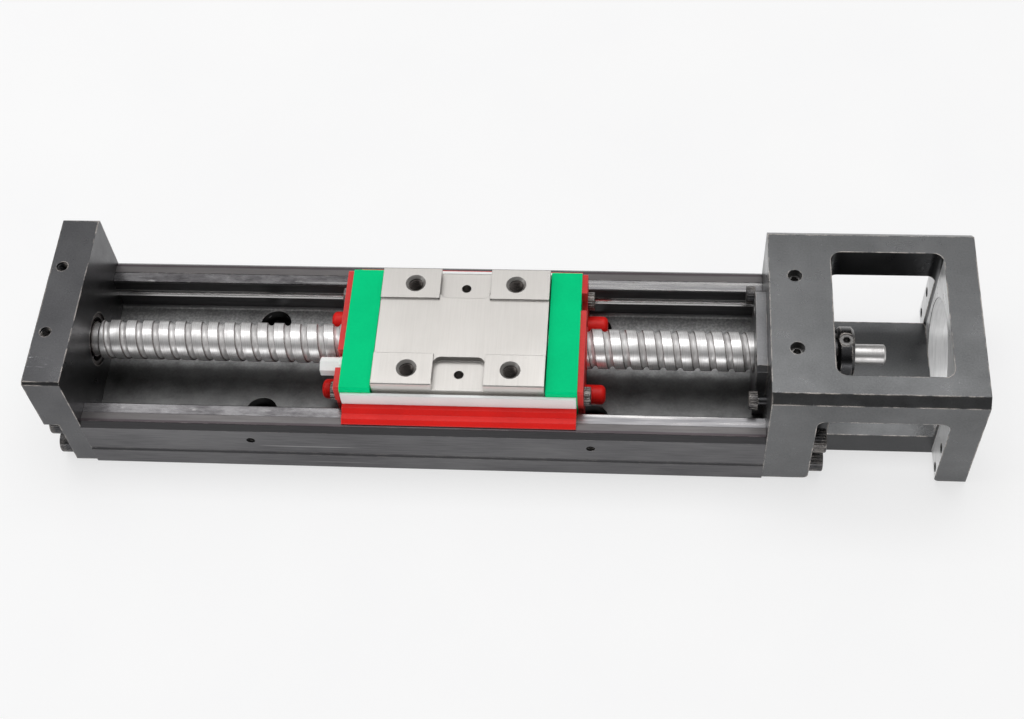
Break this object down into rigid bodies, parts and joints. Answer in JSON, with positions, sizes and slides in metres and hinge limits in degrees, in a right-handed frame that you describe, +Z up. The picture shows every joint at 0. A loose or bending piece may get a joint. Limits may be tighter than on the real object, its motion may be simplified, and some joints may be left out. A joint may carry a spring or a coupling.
{
  "type": "linear slide module",
  "caption": "Compact linear slide module: U-section rail, ball screw, tapped carriage with seals, end plate and open motor housing for a flange motor.",
  "frame": {"origin": "centre of the rail's underside", "axes": "+X along the rail towards the motor housing, +Y across the rail away from the viewer of the picture, +Z up out of the mounting face"},
  "size_m": [0.27, 0.06, 0.0435],
  "materials": {
    "rail_steel": "satin",
    "housing_metal": "satin",
    "dark_fastener": "satin",
    "bright_fastener": "polished",
    "retainer_metal": "satin",
    "bearing_steel": "polished",
    "screw_steel": "polished",
    "dark_steel": "satin",
    "block_steel": "satin",
    "green_plastic": "satin",
    "red_rubber": "satin",
    "white_plastic": "satin"
  },
  "bodies": {
    "base": {"rail": "rail_steel", "end_plate": "housing_metal", "end_plate_screws": "dark_fastener", "end_bearing_outer_ring": "bearing_steel", "motor_housing": "housing_metal", "motor_housing_screws": "dark_fastener", "housing_set_screws": "bright_fastener", "bearing_retainer": "retainer_metal", "retainer_screws": "dark_fastener", "stop_screws": "bright_fastener", "support_bearing_outer_rings": "bearing_steel"},
    "screw": {"ball_screw": "screw_steel", "end_bearing_inner_ring": "bearing_steel", "support_bearing_inner_rings": "bearing_steel", "bearing_balls": "bearing_steel", "spacer_collar": "dark_steel", "lock_nut": "dark_steel", "lock_nut_set_screw": "bright_fastener"},
    "carriage": {"carriage_block": "block_steel", "ball_nut": "block_steel", "nut_balls": "bearing_steel", "guide_balls": "bearing_steel", "end_cap_left": "green_plastic", "end_cap_right": "green_plastic", "end_seal_left": "red_rubber", "end_seal_right": "red_rubber", "side_frame_back": "white_plastic", "side_frame_front": "white_plastic", "side_seal_back": "red_rubber", "side_seal_front": "red_rubber", "bumpers": "red_rubber", "seal_screws": "bright_fastener", "grease_plug": "white_plastic"}
  },
  "joints": [
    {"name": "carriage_slide", "type": "slide", "parent": "base", "child": "carriage", "axis": [1, 0, 0], "range_m": [-0.0693, 0.0427]},
    {"name": "screw_spin", "type": "hinge", "parent": "base", "child": "screw", "pos_m": [0, 0, 0.022], "axis": [1, 0, 0], "range_deg": [-3080, 4995]}
  ],
  "couplings": [
    {"joint": "screw_spin", "follows": "carriage_slide", "rad_per_m": -1256.6}
  ]
}
